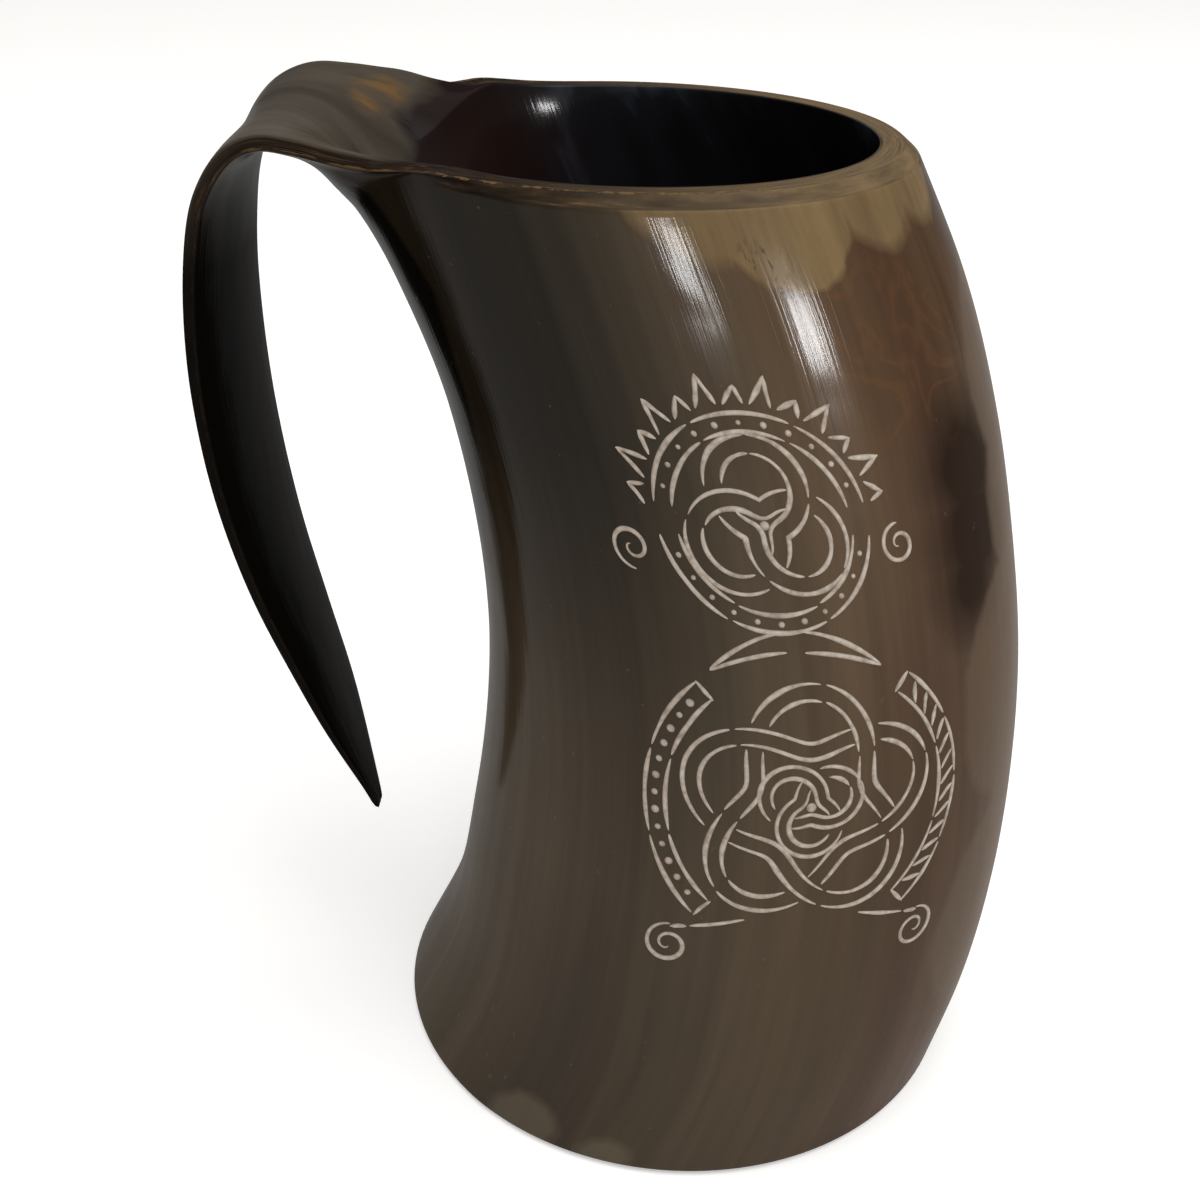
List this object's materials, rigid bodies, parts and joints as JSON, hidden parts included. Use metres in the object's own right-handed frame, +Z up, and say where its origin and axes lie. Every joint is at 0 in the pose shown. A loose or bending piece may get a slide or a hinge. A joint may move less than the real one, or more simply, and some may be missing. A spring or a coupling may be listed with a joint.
{
  "type": "horn drinking cup",
  "caption": "Drinking cup of one hollow horn with a round foot plate and a flat handle bent over from the wall at its rim, hanging free to a blunt point.",
  "frame": {"origin": "centre of the foot plate's underside, on the table", "axes": "+Z up through the mouth, -X towards the handle, +Y across the cup"},
  "size_m": [0.1294, 0.098, 0.1597],
  "materials": {
    "horn": "polished dark cattle horn, lacquered inside, with tan clouding under the rim and pale filled engraving",
    "hardwood": "dark oiled hardwood",
    "resin": "clear amber-brown resin fillet"
  },
  "bodies": {
    "root": {"horn_body": "horn", "base_plate": "hardwood", "base_seal": "resin"}
  },
  "joints": []
}
